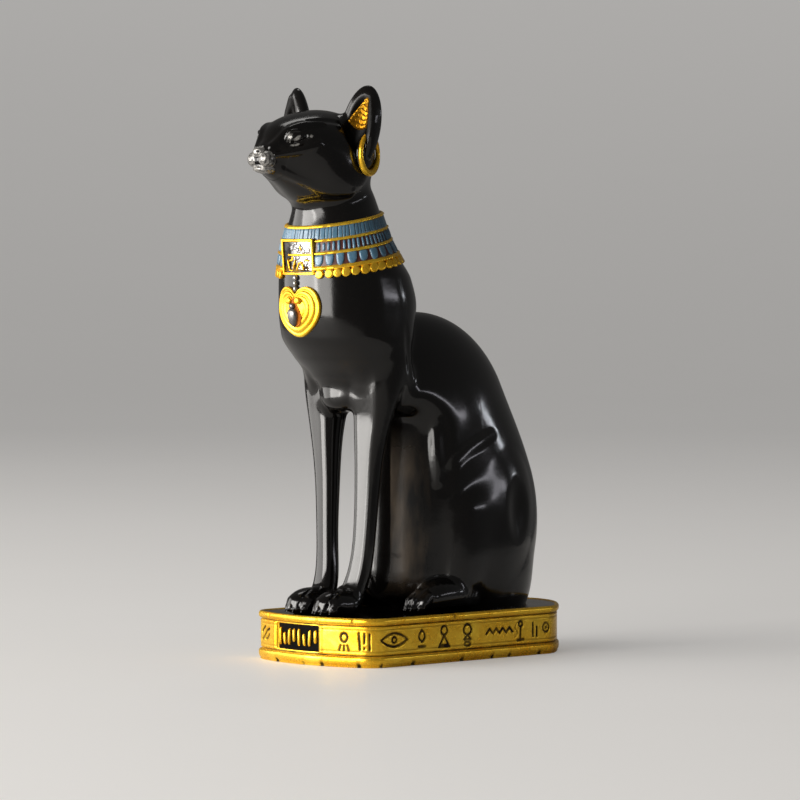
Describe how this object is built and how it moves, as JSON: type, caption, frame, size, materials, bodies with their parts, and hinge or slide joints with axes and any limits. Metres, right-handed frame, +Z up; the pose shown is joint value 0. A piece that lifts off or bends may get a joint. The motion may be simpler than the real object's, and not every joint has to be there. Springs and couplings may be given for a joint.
{
  "type": "bastet cat figure",
  "caption": "Seated cat statuette with upright ears, broad collar, heart pendant and ear hoops on a low moulded plinth.",
  "frame": {"origin": "centre of the bounding box in plan, at the underside of the plinth", "axes": "+Z up, -Y the way the cat faces, +X towards the cat's left side"},
  "size_m": [0.0788, 0.1768, 0.2552],
  "materials": {
    "black_lacquer": "gloss",
    "gold_paint": "metallic paint with brown wash",
    "blue_paint": "satin",
    "red_paint": "satin",
    "silver_paint": "metallic paint with dark wash"
  },
  "bodies": {
    "root": {"cat_figure": "black_lacquer"}
  },
  "joints": []
}
